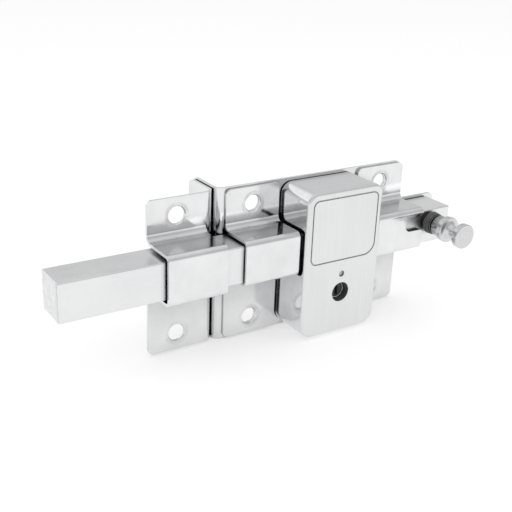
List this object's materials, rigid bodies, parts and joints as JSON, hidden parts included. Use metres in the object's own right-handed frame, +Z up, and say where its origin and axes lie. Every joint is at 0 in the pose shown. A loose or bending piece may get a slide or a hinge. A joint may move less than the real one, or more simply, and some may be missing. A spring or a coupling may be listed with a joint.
{
  "type": "rim lock",
  "caption": "Surface bar lock: a square bar slides by its knob through two bridge guides, a keyed case locks it with a dog, and a bent strike takes its tip.",
  "frame": {"origin": "centre of the four door bolts, at the back face of the base plate, which lies on the door", "axes": "+X along the bar towards its knob, -Y out of the door towards the viewer, +Z up"},
  "size_m": [0.3078, 0.0948, 0.108],
  "materials": {
    "chromed_sheet": "mirror-polished chrome on bent sheet, with a faint polishing grain",
    "brushed_case": "upright brushed satin front and top, bright side walls",
    "satin_bar": "satin chrome over a ground steel bar, grain along the bar",
    "turned_chrome": "bright turned chrome with fine concentric tool marks",
    "plain_steel": "plain zinc-bright steel",
    "turned_brass": "plain turned brass",
    "black_rubber": "matt black ribbed rubber"
  },
  "bodies": {
    "lock_frame": {"base_plate": "chromed_sheet", "left_guide": "chromed_sheet", "right_guide": "chromed_sheet", "lock_case": "brushed_case", "case_posts": "plain_steel", "case_screws": "plain_steel", "stop_stud": "plain_steel", "cylinder_body": "turned_brass", "cylinder_cap": "turned_brass", "driver_pins": "turned_brass", "pin_springs": "plain_steel", "cylinder_plate": "plain_steel", "plate_posts": "plain_steel", "plate_screws": "plain_steel", "dog_rails": "plain_steel", "rail_rivets": "plain_steel"},
    "sliding_bar": {"lock_bar": "satin_bar", "knob_stud": "plain_steel", "knob_buffer": "black_rubber", "knob_washer": "turned_chrome", "pull_knob": "turned_chrome"},
    "plug": {"key_plug": "turned_brass", "key_pins": "turned_brass", "drive_cam": "plain_steel", "cam_pin": "plain_steel", "cam_screw": "plain_steel"},
    "dog": {"locking_dog": "plain_steel"},
    "frame_strike": {"strike": "chromed_sheet"}
  },
  "joints": [
    {"name": "bar_slide", "type": "slide", "parent": "lock_frame", "child": "sliding_bar", "axis": [1, 0, 0], "range_m": [-0.0189, 0.118]},
    {"name": "key_plug_turn", "type": "hinge", "parent": "lock_frame", "child": "plug", "pos_m": [0, 0, -0.022], "axis": [0, -1, 0], "range_deg": [0, 60]},
    {"name": "dog_lift", "type": "slide", "parent": "lock_frame", "child": "dog", "axis": [0, 0, 1], "range_m": [0, 0.006]},
    {"name": "strike_slide", "type": "slide", "parent": "lock_frame", "child": "frame_strike", "axis": [-1, 0, 0], "range_m": [0, 0.12]}
  ],
  "couplings": [
    {"joint": "key_plug_turn", "follows": "dog_lift", "rad_per_m": 174.53}
  ]
}
